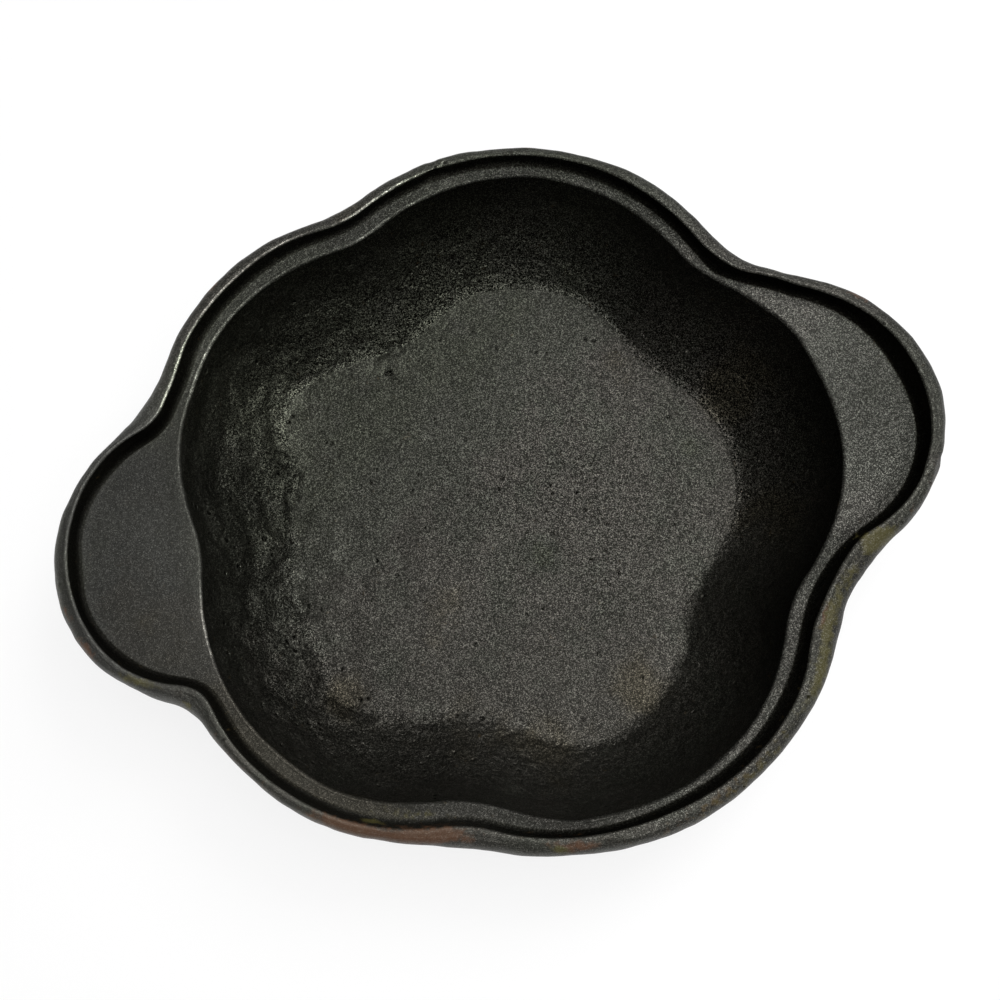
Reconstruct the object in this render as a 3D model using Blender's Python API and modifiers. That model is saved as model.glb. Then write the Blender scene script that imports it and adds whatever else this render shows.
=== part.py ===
# Garlic roaster dish: one iron casting, a five-lobed bowl whose rim runs out into two tab handles.
# Metres, +Z up. The origin is on the table under the middle of the bowl, +X points to the right handle.
# The dish is the same on both sides of its long axis, so one half is lofted and then mirrored.

import math
from collections import namedtuple

import bmesh
import bpy

# Heights
BOWL_DEPTH = 0.021              # from the lid seat down to the flat floor
BOWL_THICKNESS = 0.0035         # floor and wall alike
FLANGE_THICKNESS = 0.0035       # iron under the lid seat and under the handles' flat tops
RIM_HEIGHT = 0.003              # rim above the lid seat

# Bowl mouth: equal round lobes joined by soft hollows, the first lobe towards +X
LOBE_COUNT = 5
LOBE_CENTRE_DISTANCE = 0.0227   # middle of the bowl to the middle of each lobe's arc
LOBE_RADIUS = 0.0403
MOUTH_HOLLOW_RADIUS = 0.030

# Bowl wall: a small arc up from the flat floor, then a large one to the mouth
WALL_RUN = 0.0159               # how far the wall spreads between floor and mouth
FOOT_RADIUS = 0.005
WALL_RADIUS = 0.034

# Lid seat round the mouth, with the handles' flat tops at the same level
SEAT_WIDTH = 0.0024
SEAT_HOLLOW_RADIUS = 0.0247     # between two lobes
RIGHT_TAB_CENTRE = 0.0544       # along +X
LEFT_TAB_CENTRE = 0.0552        # along -X
TAB_FLAT_RADIUS = 0.0244
RIGHT_TAB_HOLLOW_RADIUS = 0.030
LEFT_TAB_HOLLOW_RADIUS = 0.0085

# Rim round the seat
STEP_RUN = 0.0012               # the step from seat to rim leans outwards by this much
RIM_LAND = 0.0012               # flat top of the rim
RIM_FLANK_RUN = 0.0020          # the rim's outside falls away over this width
TAB_END_FLANK_GROWTH = 0.0008   # the flank is wider by this much at the end of each handle
FLANK_HOLLOW_RADIUS = 0.045
FLANK_RIGHT_TAB_HOLLOW_RADIUS = 0.060
FLANK_LEFT_TAB_HOLLOW_RADIUS = 0.0117

# Rounding
EDGE_ROUNDING = 0.0005
FLANGE_ROOT_FILLET = 0.0025     # where the flange's underside meets the bowl's outer wall

# Facets
POINTS_ROUND_HALF = 72
FOOT_STEPS = 4
WALL_STEPS = 6
FLANK_STEPS = 5
ROOT_STEPS = 3
EDGE_SEGMENTS = 2

# Levels and reaches that follow from the sizes above
SEAT_LEVEL = BOWL_THICKNESS + BOWL_DEPTH
RIM_LEVEL = SEAT_LEVEL + RIM_HEIGHT
FLANGE_UNDERSIDE_LEVEL = SEAT_LEVEL - FLANGE_THICKNESS
LOBE_PITCH = 2 * math.pi / LOBE_COUNT

DISH_NAME = "roaster_dish"
COLLECTION_NAME = "garlic_roaster"
MERGE_DISTANCE = 0.00001
SMOOTH_ANGLE = math.radians(35)

Circle = namedtuple("Circle", "x y radius")
Arc = namedtuple("Arc", "circle bulges last_angle")
Section = namedtuple("Section", "foot wall foot_slope mouth_slope")


def clear_scene():
    for thing in list(bpy.data.objects):
        bpy.data.objects.remove(thing, do_unlink=True)


def circle_at(distance, angle, radius):
    return Circle(distance * math.cos(angle), distance * math.sin(angle), radius)


def centre_from(first, reach_first, second, reach_second):
    # The point at the given distances from two centres, to the right of the way from first to second
    gap_x = second.x - first.x
    gap_y = second.y - first.y
    gap = math.hypot(gap_x, gap_y)
    along = (reach_first ** 2 - reach_second ** 2 + gap ** 2) / (2 * gap)
    across = math.sqrt(reach_first ** 2 - along ** 2)
    x = first.x + (gap_x * along + gap_y * across) / gap
    y = first.y + (gap_y * along - gap_x * across) / gap
    return x, y


def hollow_between(first, second, radius):
    # The circle that touches both circles on their outside, away from the middle of the bowl
    x, y = centre_from(first, first.radius + radius, second, second.radius + radius)
    return Circle(x, y, radius)


def touch_angle(convex, hollow):
    share = convex.radius / (convex.radius + hollow.radius)
    x = convex.x + (hollow.x - convex.x) * share
    y = convex.y + (hollow.y - convex.y) * share
    return math.atan2(y, x) % (2 * math.pi)


def chain_outline(circles, hollow_radii):
    # Arcs from +X round to -X: each circle in turn, and the hollow that joins it to the next
    arcs = []
    for first, second, radius in zip(circles, circles[1:], hollow_radii):
        hollow = hollow_between(first, second, radius)
        arcs.append(Arc(first, True, touch_angle(first, hollow)))
        arcs.append(Arc(hollow, False, touch_angle(second, hollow)))
    arcs.append(Arc(circles[-1], True, 2 * math.pi))
    return arcs


def outline_radius(arcs, angle):
    # Distance from the middle of the bowl to the outline, in the given direction
    arc = next(arc for arc in arcs if angle <= arc.last_angle)
    circle = arc.circle
    along = circle.x * math.cos(angle) + circle.y * math.sin(angle)
    aside = circle.x * math.sin(angle) - circle.y * math.cos(angle)
    half_chord = math.sqrt(circle.radius ** 2 - aside ** 2)
    return along + half_chord if arc.bulges else along - half_chord


def bowl_outline(offset):
    # The mouth's outline, moved outwards by the offset
    lobes = [
        circle_at(LOBE_CENTRE_DISTANCE, index * LOBE_PITCH, LOBE_RADIUS + offset)
        for index in range(LOBE_COUNT // 2 + 2)
    ]
    return chain_outline(lobes, [MOUTH_HOLLOW_RADIUS - offset] * (len(lobes) - 1))


def rim_outline(offset, tab_growth, right_hollow, lobe_hollow, left_hollow):
    # The seat's outer edge, moved outwards by the offset: handle, lobes between, handle.
    # The tab growth moves each handle's round end outwards along its axis.
    lobe_angles = [index * LOBE_PITCH for index in range(1, (LOBE_COUNT + 1) // 2)]
    lobe_radius = LOBE_RADIUS + SEAT_WIDTH + offset
    lobes = [circle_at(LOBE_CENTRE_DISTANCE, angle, lobe_radius) for angle in lobe_angles]
    right_tab = circle_at(RIGHT_TAB_CENTRE + tab_growth, 0, TAB_FLAT_RADIUS + offset)
    left_tab = circle_at(LEFT_TAB_CENTRE + tab_growth, math.pi, TAB_FLAT_RADIUS + offset)
    hollows = [right_hollow] + [lobe_hollow] * (len(lobes) - 1) + [left_hollow]
    return chain_outline([right_tab] + lobes + [left_tab], hollows)


def seat_edge_outline(offset):
    return rim_outline(
        offset,
        0.0,
        RIGHT_TAB_HOLLOW_RADIUS - offset,
        SEAT_HOLLOW_RADIUS - offset,
        LEFT_TAB_HOLLOW_RADIUS - offset,
    )


def flank_foot_outline():
    return rim_outline(
        STEP_RUN + RIM_LAND + RIM_FLANK_RUN,
        TAB_END_FLANK_GROWTH,
        FLANK_RIGHT_TAB_HOLLOW_RADIUS,
        FLANK_HOLLOW_RADIUS,
        FLANK_LEFT_TAB_HOLLOW_RADIUS,
    )


def even_angles(arcs):
    # Directions from +X to -X whose points lie at equal steps along the outline
    samples = 40 * POINTS_ROUND_HALF
    directions = [math.pi * index / samples for index in range(samples + 1)]
    travelled = [0.0]
    for before, after in zip(directions, directions[1:]):
        radius_before = outline_radius(arcs, before)
        radius_after = outline_radius(arcs, after)
        arc_length = (after - before) * (radius_before + radius_after) / 2
        travelled.append(travelled[-1] + math.hypot(arc_length, radius_after - radius_before))
    angles = []
    sample = 0
    for index in range(POINTS_ROUND_HALF + 1):
        target = travelled[-1] * index / POINTS_ROUND_HALF
        while sample < samples and travelled[sample] < target:
            sample += 1
        angles.append(directions[sample])
    return angles


def ring(arcs, angles, level):
    return [(outline_radius(arcs, angle), level) for angle in angles]


def wall_section():
    # The bowl's inner face in section, x being the offset from the mouth's outline and y the level:
    # an arc that leaves the floor flat, then one that runs on from it to the mouth's edge
    foot = Circle(-WALL_RUN, BOWL_THICKNESS + FOOT_RADIUS, FOOT_RADIUS)
    mouth = Circle(0.0, SEAT_LEVEL, 0.0)
    x, y = centre_from(mouth, WALL_RADIUS, foot, WALL_RADIUS - FOOT_RADIUS)
    foot_slope = math.atan2(foot.x - x, y - foot.y)
    mouth_slope = math.atan2(mouth.x - x, y - mouth.y)
    return Section(foot, Circle(x, y, WALL_RADIUS), foot_slope, mouth_slope)


def wall_rings(angles, section, thickness, top_slope):
    # Rings from the flat floor up to the given slope, at a distance outside the inner face
    slopes = [section.foot_slope * step / FOOT_STEPS for step in range(FOOT_STEPS)]
    rise = top_slope - section.foot_slope
    slopes += [section.foot_slope + rise * step / WALL_STEPS for step in range(WALL_STEPS + 1)]
    rings = []
    for slope in slopes:
        arc = section.foot if slope < section.foot_slope else section.wall
        radius = arc.radius + thickness
        offset = arc.x + radius * math.sin(slope)
        level = arc.y - radius * math.cos(slope)
        rings.append(ring(bowl_outline(offset), angles, level))
    return rings


def inner_wall_rings(angles):
    section = wall_section()
    return wall_rings(angles, section, 0.0, section.mouth_slope)


def outer_wall_rings(angles):
    # The outer face stops under the flange, below the root fillet
    section = wall_section()
    top_level = FLANGE_UNDERSIDE_LEVEL - FLANGE_ROOT_FILLET
    top_cosine = (section.wall.y - top_level) / (section.wall.radius + BOWL_THICKNESS)
    return wall_rings(angles, section, BOWL_THICKNESS, math.acos(top_cosine))


def blend_rings(first, last, steps):
    # Quarter-ellipse rings between two rings, without the two. The curve leaves the first ring
    # flat and reaches the last one upright.
    rings = []
    for step in range(1, steps):
        swing = math.pi / 2 * step / steps
        radius_share = math.sin(swing)
        level_share = 1 - math.cos(swing)
        rings.append([
            (
                radius_a + (radius_b - radius_a) * radius_share,
                level_a + (level_b - level_a) * level_share,
            )
            for (radius_a, level_a), (radius_b, level_b) in zip(first, last)
        ])
    return rings


def rim_rings(angles):
    # Seat, step, flat rim top, rounded flank and the flange's outer lower edge
    seat_edge = ring(seat_edge_outline(0.0), angles, SEAT_LEVEL)
    rim_inside = ring(seat_edge_outline(STEP_RUN), angles, RIM_LEVEL)
    rim_crown = ring(seat_edge_outline(STEP_RUN + RIM_LAND), angles, RIM_LEVEL)
    flank_foot = ring(flank_foot_outline(), angles, FLANGE_UNDERSIDE_LEVEL)
    flank = blend_rings(rim_crown, flank_foot, FLANK_STEPS)
    return [seat_edge, rim_inside, rim_crown] + flank + [flank_foot]


def root_rings(angles, wall_top):
    # Fillet from the flange's underside round into the top of the outer wall
    underside = []
    for radius, level in wall_top:
        underside.append((radius + FLANGE_ROOT_FILLET, FLANGE_UNDERSIDE_LEVEL))
    return [underside] + blend_rings(underside, wall_top, ROOT_STEPS)


def dish_rings(angles):
    # From the edge of the bowl's floor, up, over the rim and down to the edge of the base
    outer_wall = outer_wall_rings(angles)
    outer_wall.reverse()
    root = root_rings(angles, outer_wall[0])
    return inner_wall_rings(angles) + rim_rings(angles) + root + outer_wall


def loft_half(mesh, angles, rings):
    rows = []
    for points in rings:
        row = []
        for angle, (radius, level) in zip(angles, points):
            side = 0.0 if angle in (angles[0], angles[-1]) else radius * math.sin(angle)
            row.append(mesh.verts.new((radius * math.cos(angle), side, level)))
        rows.append(row)
    for lower, upper in zip(rows, rows[1:]):
        for index in range(len(angles) - 1):
            mesh.faces.new((lower[index], upper[index], upper[index + 1], lower[index + 1]))
    return rows


def close_with_fan(mesh, row, level, faces_up):
    middle = mesh.verts.new((0.0, 0.0, level))
    for near, far in zip(row, row[1:]):
        corners = (middle, near, far) if faces_up else (middle, far, near)
        mesh.faces.new(corners)


def iron_material():
    material = bpy.data.materials.new("seasoned_iron")
    material.use_nodes = True
    shader = material.node_tree.nodes["Principled BSDF"]
    shader.inputs["Base Color"].default_value = (0.055, 0.054, 0.048, 1.0)
    shader.inputs["Roughness"].default_value = 0.6
    shader.inputs["Metallic"].default_value = 0.2
    material.diffuse_color = (0.055, 0.054, 0.048, 1.0)
    return material


def add_mirror(dish):
    mirror = dish.modifiers.new("other_side", "MIRROR")
    mirror.use_axis = (False, True, False)
    mirror.use_clip = True
    mirror.merge_threshold = MERGE_DISTANCE


def add_edge_rounding(dish):
    rounding = dish.modifiers.new("rounded_edges", "BEVEL")
    rounding.limit_method = "ANGLE"
    rounding.angle_limit = SMOOTH_ANGLE
    rounding.offset_type = "OFFSET"
    rounding.width = EDGE_ROUNDING
    rounding.segments = EDGE_SEGMENTS


def make_dish(collection):
    angles = even_angles(flank_foot_outline())
    mesh = bmesh.new()
    rows = loft_half(mesh, angles, dish_rings(angles))
    close_with_fan(mesh, rows[0], BOWL_THICKNESS, faces_up=True)
    close_with_fan(mesh, rows[-1], 0.0, faces_up=False)
    data = bpy.data.meshes.new(DISH_NAME)
    mesh.to_mesh(data)
    mesh.free()
    data.shade_smooth()
    data.set_sharp_from_angle(angle=SMOOTH_ANGLE)
    data.materials.append(iron_material())
    dish = bpy.data.objects.new(DISH_NAME, data)
    collection.objects.link(dish)
    add_mirror(dish)
    add_edge_rounding(dish)
    return dish


def main():
    clear_scene()
    collection = bpy.data.collections.new(COLLECTION_NAME)
    bpy.context.scene.collection.children.link(collection)
    make_dish(collection)


main()
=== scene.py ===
import bpy
import bmesh
import math
from mathutils import Matrix, Vector, noise


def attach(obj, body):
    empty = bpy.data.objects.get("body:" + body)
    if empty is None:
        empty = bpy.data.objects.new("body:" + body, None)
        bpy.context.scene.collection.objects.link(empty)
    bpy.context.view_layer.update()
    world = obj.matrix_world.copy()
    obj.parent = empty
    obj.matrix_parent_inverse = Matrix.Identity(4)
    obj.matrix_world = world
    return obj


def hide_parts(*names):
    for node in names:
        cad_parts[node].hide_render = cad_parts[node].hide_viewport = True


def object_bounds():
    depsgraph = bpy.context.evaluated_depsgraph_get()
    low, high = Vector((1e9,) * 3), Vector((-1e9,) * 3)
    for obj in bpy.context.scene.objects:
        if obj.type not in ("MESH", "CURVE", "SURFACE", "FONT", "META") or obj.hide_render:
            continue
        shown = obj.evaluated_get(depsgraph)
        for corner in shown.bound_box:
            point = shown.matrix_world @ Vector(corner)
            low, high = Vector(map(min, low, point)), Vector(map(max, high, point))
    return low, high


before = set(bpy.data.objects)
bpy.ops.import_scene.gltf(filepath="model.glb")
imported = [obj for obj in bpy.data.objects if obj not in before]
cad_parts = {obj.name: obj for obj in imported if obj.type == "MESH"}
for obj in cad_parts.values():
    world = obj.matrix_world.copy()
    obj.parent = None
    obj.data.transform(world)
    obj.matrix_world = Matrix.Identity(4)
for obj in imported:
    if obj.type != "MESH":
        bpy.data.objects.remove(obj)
cadLow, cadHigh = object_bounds()  # the box that the visual model has to stay inside
print("frame loaded")

# The photograph's view. The camera hangs over the near side of the dish and is rolled a little.
view = {
    "focalPixels": 1052.93,        # in a frame 1000 pixels wide
    "framePixels": 1000,
    "distance": 0.19499,           # to the middle of the frame on the seat's level
    "tilt": math.radians(13.73),   # away from straight down
    "azimuth": math.radians(-95.21),
    "roll": math.radians(-12.9),
    "aim": (-0.00116, -0.00326),   # where the middle of the frame lies on the seat's level
    "sensorWidth": 36,
    "clipStart": 0.01,
}

# Two soft round lamps that face the dish; right and up are the picture's, for each metre of height
lamps = {
    "overhead": {"right": 0.20, "up": 0.02, "distance": 0.9, "size": 1.1, "power": 11.0},
    "key": {"right": 0.55, "up": 0.65, "distance": 0.9, "size": 0.4, "power": 4.0},
}
worldFill = 0.006

# Sizes of the casting, in metres: the same driving sizes as the solid's
dish = {
    "pointsRound": 512,
    "bowlDepth": 0.021,
    "bowlThickness": 0.0035,
    "flangeThickness": 0.0035,
    "rimHeight": 0.003,
    "lobeCount": 5,
    "lobeCentre": 0.0227,
    "lobeRadius": 0.0403,
    "mouthHollow": 0.030,
    "wallRun": 0.0159,
    "footRadius": 0.005,
    "wallRadius": 0.034,
    "seatWidth": 0.0024,
    "seatHollow": 0.0247,
    "rightTabCentre": 0.0544,
    "leftTabCentre": 0.0552,
    "tabFlatRadius": 0.0244,
    "rightTabHollow": 0.030,
    "leftTabHollow": 0.0085,
    "stepRun": 0.0012,
    "rimLand": 0.0012,
    "flankRun": 0.0018,
    "tabEndGrowth": 0.0008,
    "flankHollow": 0.045,
    "flankRightTabHollow": 0.060,
    "flankLeftTabHollow": 0.0117,
    "rootFillet": 0.0025,
    "mouthRounding": 0.0006,
    "footFillet": 0.0008,
    "rimEdgeRounding": 0.0004,
    "lipRounding": 0.0007,
    "landDrop": 0.0002,
    "flankPower": 0.7,     # 1 rounds the flank like an ellipse, less makes it fuller
    "crownFollows": 0.3,   # how far the rim's crown strays with the flank's foot, against with its inner edge
}
seatLevel = dish["bowlThickness"] + dish["bowlDepth"]
rimLevel = seatLevel + dish["rimHeight"]
underLevel = seatLevel - dish["flangeThickness"]

# Where the old casting strays from its even outlines: direction and spread in degrees, shift in mm
strays = {
    "mouth": [(16, 6, 0.85), (39, 14, -0.38), (72, 9, 0.32), (105, 19, -0.33), (150, 7, -0.52), (200, 26, -0.24),
              (231, 8, 0.54), (269, 4, 0.33), (326, 15, -0.66), (354, 19, 0.69)],
    "seat": [(4, 8, -1.17), (23, 5, 1.64), (33, 3, -0.59), (72, 26, 0.49), (116, 17, 0.85), (149, 6, -1.16),
             (179, 4, -0.63), (181, 26, 0.7), (206, 6, -0.74), (239, 26, 0.96), (285, 13, -0.66), (341, 26, 0.49)],
    "rim": [(24, 4, 1.57), (37, 23, -0.47), (95, 26, -0.36), (120, 9, 0.64), (150, 6, -1.11), (163, 9, 0.66),
            (195, 7, 0.61), (205, 5, -0.66), (237, 26, 0.82), (279, 17, -0.95), (319, 5, -0.76), (328, 25, 0.92),
            (338, 5, -0.78)],
    "foot": [(24, 18, -0.34), (31, 7, -1.47), (49, 13, 0.55), (73, 26, -0.56), (127, 13, 0.52), (156, 4, 1.88),
             (161, 13, -1.12), (197, 4, -0.54), (216, 6, -0.51), (233, 6, 0.24), (253, 11, 1.16), (274, 14, -0.62),
             (317, 13, 1.99), (328, 5, -0.81), (359, 7, 0.37)],
    "floor": [(54, 19, 1.6), (86, 9, 0.9), (108, 6, -0.7), (140, 11, 3.0), (157, 8, -3.4), (187, 7, 2.6),
              (205, 6, -1.2), (219, 8, 1.5), (250, 7, -0.7), (280, 14, 2.4), (318, 10, -0.9)],
}


def degreesFrom(where, angle):
    return math.degrees(math.remainder(angle - math.radians(where), 2 * math.pi))


def peaks(bumps, angle):
    # the sum of smooth bumps (direction, spread, height) round the dish
    return sum(height * math.exp(-(degreesFrom(where, angle) / spread) ** 2) for where, spread, height in bumps)


def stray(name, angle):
    return peaks(strays[name], angle) / 1000


# The iron's skin on each part, from the floor of the bowl round the rim to the base: the colours under the oil
# film, the roughness and gloss, and how far the film's tint fades to grey
iron = {
    "bowl": {"dark": (0.0012, 0.0012, 0.0009), "pale": (0.0030, 0.0030, 0.0023),
             "rough": 0.5, "gloss": 0.36, "grey": 0.0},
    "ledge": {"dark": (0.002, 0.002, 0.0016), "pale": (0.005, 0.005, 0.004),
              "rough": 0.5, "gloss": 0.43, "grey": 0.35},
    "rim": {"dark": (0.003, 0.003, 0.0024), "pale": (0.007, 0.007, 0.0056),
            "rough": 0.5, "gloss": 0.51, "grey": 0.1},
    "under": {"dark": (0.010, 0.010, 0.009), "pale": (0.018, 0.018, 0.016),
              "rough": 0.55, "gloss": 0.3, "grey": 0.3},
}

# Edges rubbed bright with a painted highlight along them, and painted shade: direction and spread in degrees, then
# how much lies there
# Partly real wear, partly painted highlight: the edges shine brighter only in the directions listed, where light
# catches them
wearAndHighlight = {
    "mouth": [(0, 22, 0.35), (42, 9, 0.45), (62, 12, 0.3), (80, 6, 0.35), (95, 9, 0.6), (107, 5, 0.6),
              (131, 12, 0.5), (148, 9, 0.6), (193, 7, 1.0)],
    "rim": [(33, 2, 0.4), (41, 9, 0.5), (88, 2, 0.6), (97, 6, 0.9), (105, 4, 0.9), (111.5, 2, -0.8), (119, 5, 0.5),
            (133, 10, 0.7), (150, 7, 1.0), (172, 9, 0.3), (193, 9, 0.35)],
    "overRimEdge": (0.3, 0.9, 1, 0.35),   # on the four rings round the rim's inner edge
}
# Painted shade: the walls darken towards the mouth, most on the right and far side, and the step under the rim's
# inner edge is dark, as where shade falls
paintedShade = {
    "wall": [(10, 35, 0.34), (80, 35, 0.32), (142, 20, 0.2), (265, 25, -0.15), (325, 30, 0.38)],
    "wallLeast": 0.40,
    "step": [(245, 13, -0.56), (215, 30, -0.18), (112, 50, -0.19), (75, 12, -0.10), (160, 4, 0.06),
             (172, 8, -0.12), (290, 35, -0.09)],
    "stepLeast": 1.0,
    "atWallFoot": 0.35,
    "moreAtMouth": 0.65,
    "climb": 0.8,          # less than 1 darkens the wall with painted shade early on the way up
    "atStepFoot": 0.93,
    "onStep": 0.96,
}


def circleAt(distance, angle, radius):
    return (distance * math.cos(angle), distance * math.sin(angle), radius)


def hollowBetween(first, second, radius):
    reachFirst = first[2] + radius
    reachSecond = second[2] + radius
    gapX = second[0] - first[0]
    gapY = second[1] - first[1]
    gap = math.hypot(gapX, gapY)
    along = (reachFirst ** 2 - reachSecond ** 2 + gap ** 2) / (2 * gap)
    across = math.sqrt(reachFirst ** 2 - along ** 2)
    x = first[0] + (gapX * along + gapY * across) / gap
    y = first[1] + (gapY * along - gapX * across) / gap
    return (x, y, radius)


def touchAngle(convex, hollow):
    share = convex[2] / (convex[2] + hollow[2])
    x = convex[0] + (hollow[0] - convex[0]) * share
    y = convex[1] + (hollow[1] - convex[1]) * share
    return math.atan2(y, x) % (2 * math.pi)


def chainOutline(circles, hollows):
    # arcs from +X round to -X: (circle, bulges outwards, last angle)
    arcs = []
    for first, second, radius in zip(circles, circles[1:], hollows):
        hollow = hollowBetween(first, second, radius)
        arcs.append((first, True, touchAngle(first, hollow)))
        arcs.append((hollow, False, touchAngle(second, hollow)))
    arcs.append((circles[-1], True, 2 * math.pi))
    return arcs


def reach(arcs, angle):
    # distance from the middle of the bowl to the outline; both sides of the long axis are alike
    angle = abs(math.remainder(angle, 2 * math.pi))
    circle, bulges, last = next(arc for arc in arcs if angle <= arc[2])
    along = circle[0] * math.cos(angle) + circle[1] * math.sin(angle)
    aside = circle[0] * math.sin(angle) - circle[1] * math.cos(angle)
    halfChord = math.sqrt(circle[2] ** 2 - aside ** 2)
    return along + halfChord if bulges else along - halfChord


def bowlOutline(offset):
    pitch = 2 * math.pi / dish["lobeCount"]
    lobes = [
        circleAt(dish["lobeCentre"], index * pitch, dish["lobeRadius"] + offset)
        for index in range(dish["lobeCount"] // 2 + 2)
    ]
    return chainOutline(lobes, [dish["mouthHollow"] - offset] * (len(lobes) - 1))


def rimOutline(offset, tabGrowth, rightHollow, lobeHollow, leftHollow):
    pitch = 2 * math.pi / dish["lobeCount"]
    radius = dish["lobeRadius"] + dish["seatWidth"] + offset
    lobes = [
        circleAt(dish["lobeCentre"], index * pitch, radius)
        for index in range(1, (dish["lobeCount"] + 1) // 2)
    ]
    rightTab = circleAt(dish["rightTabCentre"] + tabGrowth, 0, dish["tabFlatRadius"] + offset)
    leftTab = circleAt(dish["leftTabCentre"] + tabGrowth, math.pi, dish["tabFlatRadius"] + offset)
    hollows = [rightHollow] + [lobeHollow] * (len(lobes) - 1) + [leftHollow]
    return chainOutline([rightTab] + lobes + [leftTab], hollows)


def seatEdge(offset):
    return rimOutline(
        offset,
        0,
        dish["rightTabHollow"] - offset,
        dish["seatHollow"] - offset,
        dish["leftTabHollow"] - offset,
    )


def flankFoot(offset):
    return rimOutline(
        dish["stepRun"] + dish["rimLand"] + dish["flankRun"] + offset,
        dish["tabEndGrowth"],
        dish["flankRightTabHollow"] - offset,
        dish["flankHollow"] - offset,
        dish["flankLeftTabHollow"] - offset,
    )


def wallCurve(thickness):
    # the wall's section: a small arc up from the floor, then a large one to the mouth; slope -> offset and level
    run, foot, radius = dish["wallRun"], dish["footRadius"], dish["wallRadius"]
    depth = dish["bowlDepth"]
    middle = hollowBetween((0, depth, 0), (-run, foot, -foot), radius)
    turning = math.atan2(-run - middle[0], middle[1] - foot)
    steepest = math.atan2(-middle[0], middle[1] - depth)

    def point(slope):
        x, y, arc = (-run, foot, foot) if slope < turning else middle
        offset = x + (arc + thickness) * math.sin(slope)
        return offset, dish["bowlThickness"] + y - (arc + thickness) * math.cos(slope)

    return point, turning, steepest


def evenAngles(arcs, count):
    # directions all round whose points lie at equal steps along the outline
    samples = 40 * count
    directions = [2 * math.pi * index / samples for index in range(samples + 1)]
    travelled = [0.0]
    before = reach(arcs, 0)
    for direction in directions[1:]:
        here = reach(arcs, direction)
        arcLength = (here + before) / 2 * 2 * math.pi / samples
        travelled.append(travelled[-1] + math.hypot(arcLength, here - before))
        before = here
    angles = []
    sample = 0
    for index in range(count):
        while travelled[sample] < travelled[-1] * index / count:
            sample += 1
        angles.append(directions[sample])
    return angles


def shares(count):
    return [(step + 1) / count for step in range(count)]


def between(first, second, share):
    return [a + (b - a) * share for a, b in zip(first, second)]


def bend(start, corner, end, count):
    # rings along a rounded corner, each ring a pair of reaches and level
    rings = []
    for t in shares(count):
        weights = ((1 - t) ** 2, 2 * t * (1 - t), t * t)
        radii = [sum(w * r for w, r in zip(weights, trio)) for trio in zip(start[0], corner[0], end[0])]
        level = sum(w * ring[1] for w, ring in zip(weights, (start, corner, end)))
        rings.append((radii, level))
    return rings


# The section, from the middle of the floor over the rim to the middle of the base: for each stretch the number
# of rings, its part of the iron, and its lumpiness, 1 for lumps at full height
section = {
    "floor": (24, "bowl", 0.25),
    "wallFoot": (9, "bowl", 0.6),
    "wall": (24, "bowl", 1.0),
    "mouth": (4, "ledge", 0.25),
    "seat": (10, "ledge", 0.15),
    "stepFoot": (4, "ledge", 0.15),
    "step": (4, "ledge", 0.2),
    "rimEdge": (4, "rim", 0.3),
    "land": (3, "rim", 0.3),
    "flank": (18, "rim", 0.4),
    "lip": (3, "under", 0.4),
    "flange": (6, "under", 0.4),
    "root": (6, "under", 0.5),
    "underWall": (16, "under", 0.7),
    "underFoot": (9, "under", 0.7),
    "base": (12, "under", 0.0),
}
shaping = {
    "inward": 0.97,          # how far in towards the middle the rings of floor and base go
    "floorCrowding": 1.3,    # above 1 the floor's rings crowd towards its edge
    "flankCrowding": 1.2,    # and the flank's towards its top
    "floorEdgeLumps": 0.35,  # more at the floor's edge and up the wall's foot, and less at the mouth
    "wallFootLumps": 0.4,
    "mouthLumps": 0.6,
    "dip": 8,                # the higher, the fewer of the wall's rings dip to meet the mouth's rounding
}


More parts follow.
